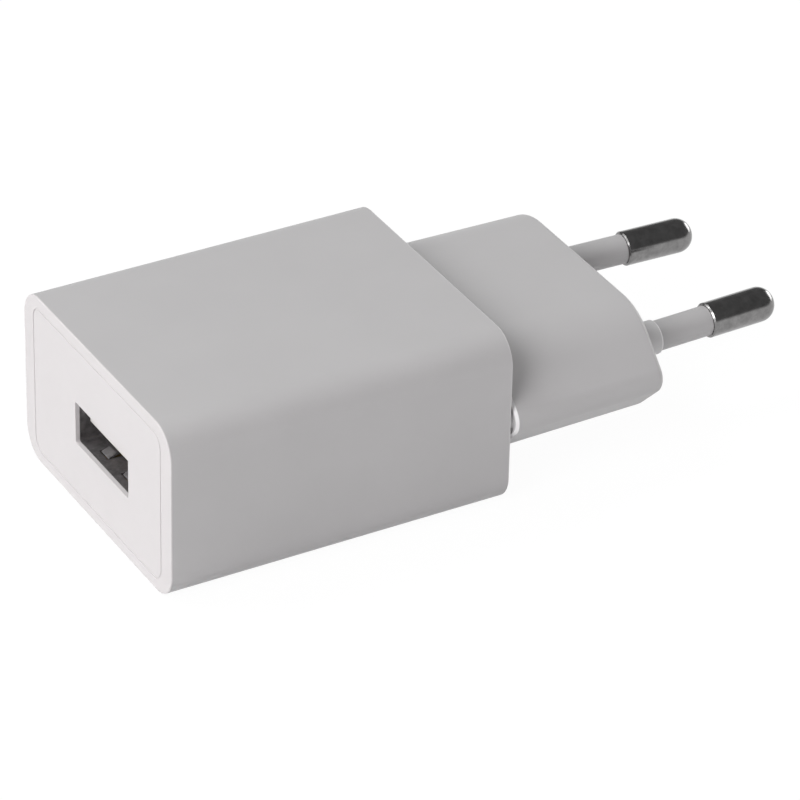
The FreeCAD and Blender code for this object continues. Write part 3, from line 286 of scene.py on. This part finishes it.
# ends along X of the sleeve, seam, boss and collar: they place the painted highlights and the collar's
# painted lighter tone
sleeve_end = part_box("outer_sleeve")[1][0]
seam_end = sleeve_end + SEAM_WIDTH
boss_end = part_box("plug_base")[1][0]
collar_end = boss_end + COLLAR_LENGTH
MATERIALS = {
    "housing_grey": moulded_plastic("moulded_grey", GREY, 0.5, bright=(
        # painted highlight along the sleeve's rear edge
        (sleeve_end - 0.12 * MM, sleeve_end + 0.1 * MM, (205, 203, 204)),
        # painted highlight on the chamfer of the boss's nose, just beyond the seam
        (seam_end + 0.04 * MM, seam_end + 0.33 * MM, (224, 222, 223)),
        # painted highlight on the rim just before the boss's end face
        (boss_end - 0.5 * MM, boss_end - 0.15 * MM, (192, 190, 191)))),
    "cap_white": moulded_plastic("moulded_white", (199, 195, 196), 0.42, grain=0.3, depth=0.003,
                                 tone=0.003),
    "sleeve_grey": moulded_plastic("pin_sleeve_grey", (175, 173, 174), 0.45, grain=0.25, bright=(
        # collar painted lighter to make up for the boss's shadow on it: painted light
        (boss_end, collar_end, (201, 199, 200)),
        # painted highlight ring at the collar's end
        (collar_end - 0.15 * MM, collar_end + 0.06 * MM, (224, 222, 223)))),
    "pin_nickel": metal("nickel_plate", (129, 128, 128), 0.18, 0.12, (0.3, 1.0, 1.0), depth=0.003,
                        tone=0.1, stain_size=0.9),
    "socket_steel": metal("nickel_steel_sheet", (112, 109, 110), 0.36, 0.15, (5.0, 1.0, 1.0),
                          depth=0.004, tone=0.16, stain_size=0.8, metallic=0.6),
    "socket_white": moulded_plastic("tongue_white", (206, 203, 201), 0.4, grain=0.2, depth=0.002),
    "contact_gold": metal("gold_flash", (214, 170, 92), 0.3, 0.15, (4.0, 1.0, 1.0), depth=0.001,
                          tone=0.03, metallic=0.75),
    "board_green": circuit_lacquer(),
    "ferrite": sintered("ferrite_black", (52, 52, 54)),
    "bobbin_black": moulded_plastic("phenolic_black", (34, 33, 34), 0.5, grain=0.2),
    "copper_wire": wound_wire(),
    "tape_yellow": tape(),
    "can_black": lacquer("shrink_sleeve_black", (36, 37, 44), 0.3, tone=0.05, coat=0.3),
    "tinned_wire": metal("tinned_wire", (196, 195, 192), 0.28, 0.1),
    "solder": metal("solder", (200, 199, 197), 0.18, 0.5, depth=0.02),
    "chip_black": sintered("epoxy_black", (40, 40, 42), 0.6, pit=0.08),
    "chip_tan": sintered("ceramic_tan", (168, 138, 102), 0.6, pit=0.1),
    "disc_blue": lacquer("dipped_blue", (34, 88, 160)),
    "coil_green": lacquer("dipped_green", (84, 140, 112)),
    "resistor_grey": lacquer("flameproof_grey", (142, 148, 142), 0.45, tone=0.06, coat=0.1),
    "lead_brown": lacquer("pvc_brown", (94, 56, 34), 0.35, tone=0.05, coat=0.2),
    "lead_blue": lacquer("pvc_blue", (36, 70, 140), 0.35, tone=0.05, coat=0.2),
}


def dress_nodes():
    """Gives every CAD node the finish that its slot in the record names."""
    for part in frame["record"]["subparts"]:
        piece = frame["nodes"][part["node"]]
        piece.data.materials.clear()
        piece.data.materials.append(MATERIALS[part["material_slot"]])


# ---- surroundings ----
def world():
    """White to the camera; metal sees it grow dark overhead; rough surfaces get plain soft light."""
    scene_world = bpy.data.worlds.new("studio")
    bpy.context.scene.world = scene_world
    scene_world.use_nodes = True
    tree = scene_world.node_tree
    tree.nodes.clear()
    rays = add(tree, "ShaderNodeLightPath")
    place = add(tree, "ShaderNodeTexCoord")
    axes = add(tree, "ShaderNodeSeparateXYZ", {"Vector": place.outputs["Generated"]})
    overhead = add(tree, "ShaderNodeMapRange",
                   {"Value": axes.outputs["Z"], "From Min": 0.0, "From Max": DARK_FROM,
                    "To Min": 1.0, "To Max": DARK_OVERHEAD}, interpolation_type="SMOOTHSTEP")
    softbox = add(tree, "ShaderNodeMapRange",
                  {"Value": axes.outputs["X"], "From Min": SOFTBOX_EDGE[0],
                   "From Max": SOFTBOX_EDGE[1], "To Min": 0.0, "To Max": SOFTBOX},
                  interpolation_type="SMOOTHSTEP")
    around = add(tree, "ShaderNodeMath", {0: overhead.outputs["Result"], 1: softbox.outputs["Result"]},
                 operation="MAXIMUM")
    mirrored = add(tree, "ShaderNodeMix", {0: rays.outputs["Is Glossy Ray"], 2: AMBIENT,
                                           3: around.outputs[0]})
    seen = add(tree, "ShaderNodeMath", {0: rays.outputs["Is Camera Ray"],
                                        1: rays.outputs["Is Transmission Ray"]}, operation="MAXIMUM")
    strength = add(tree, "ShaderNodeMix", {0: seen.outputs[0], 2: mirrored.outputs[0], 3: 1.0})
    light = add(tree, "ShaderNodeBackground",
                {"Color": (1, 1, 1, 1), "Strength": strength.outputs[0]})
    output = add(tree, "ShaderNodeOutputWorld")
    tree.links.new(light.outputs[0], output.inputs["Surface"])


def floor():
    """A wide white floor that shows white and keeps a faint shadow."""
    mesh = bpy.data.meshes.new("floor")
    corners = [(x * FLOOR_REACH, y * FLOOR_REACH, 0) for x, y in ((-1, -1), (1, -1), (1, 1), (-1, 1))]
    mesh.from_pydata(corners, [], [(0, 1, 2, 3)])
    piece = bpy.data.objects.new("floor", mesh)
    bpy.context.collection.objects.link(piece)
    material = bpy.data.materials.new("floor_white")
    material.use_nodes = True
    tree = material.node_tree
    tree.nodes.clear()
    rays = add(tree, "ShaderNodeLightPath")
    seen = add(tree, "ShaderNodeMath", {0: rays.outputs["Is Camera Ray"],
                                        1: rays.outputs["Is Glossy Ray"]}, operation="MAXIMUM")
    share = add(tree, "ShaderNodeMath", {0: seen.outputs[0], 1: FLOOR_GLOW_SHARE},
                operation="MULTIPLY")
    paper = add(tree, "ShaderNodeBsdfDiffuse", {"Color": (FLOOR_WHITE, FLOOR_WHITE, FLOOR_WHITE, 1)})
    glow = add(tree, "ShaderNodeEmission", {"Color": (1, 1, 1, 1), "Strength": FLOOR_GLOW})
    mix = add(tree, "ShaderNodeMixShader",
              {0: share.outputs[0], 1: paper.outputs[0], 2: glow.outputs[0]})
    output = add(tree, "ShaderNodeOutputMaterial")
    tree.links.new(mix.outputs[0], output.inputs["Surface"])
    mesh.materials.append(material)


def area_light(name, azimuth, elevation, size, power, target, colour=(1.0, 1.0, 1.0)):
    """A large soft lamp that looks at the target."""
    data = bpy.data.lights.new(name, "AREA")
    data.shape = "DISK"
    data.size = size
    data.energy = power
    data.color = colour
    lamp = bpy.data.objects.new(name, data)
    bpy.context.collection.objects.link(lamp)
    towards = direction(azimuth, elevation)
    lamp.location = target + towards * LAMP_DISTANCE
    lamp.rotation_euler = towards.to_track_quat("Z", "Y").to_euler()


def direction(azimuth, elevation):
    """Unit vector from the charger: azimuth 0 is straight out of the front side (-Y), and -90 out
    of the socket face."""
    a, e = math.radians(azimuth), math.radians(elevation)
    return Vector((math.sin(a) * math.cos(e), -math.cos(a) * math.cos(e), math.sin(e)))


def camera(centre):
    """The photograph's view of the charger."""
    data = bpy.data.cameras.new("camera")
    data.lens = CAMERA_LENS
    data.sensor_width = CAMERA_SENSOR
    data.clip_start = 0.01
    data.clip_end = 20.0
    view = bpy.data.objects.new("camera", data)
    bpy.context.collection.objects.link(view)
    out = direction(CAMERA_AZIMUTH, CAMERA_ELEVATION)
    turn = Matrix.Rotation(math.radians(CAMERA_ROLL), 4, "Z")
    aim = out.to_track_quat("Z", "Y").to_matrix().to_4x4()
    view.matrix_world = Matrix.Translation(centre + AIM_OFFSET + out * CAMERA_DISTANCE) @ aim @ turn
    bpy.context.scene.camera = view


low, high = (Vector(corner) for corner in cad_box)
centre = (low + high) / 2
camera(centre)
world()
floor()
area_light("key", -64, 33, 0.5, KEY_POWER, centre, (1.0, 0.99, 0.995))
area_light("end", 106, 3, 0.55, END_POWER, centre)
area_light("top", -130, 52, 0.4, TOP_POWER, centre, (0.97, 1.0, 0.985))
dress_nodes()

bpy.context.scene.view_settings.view_transform = "Standard"
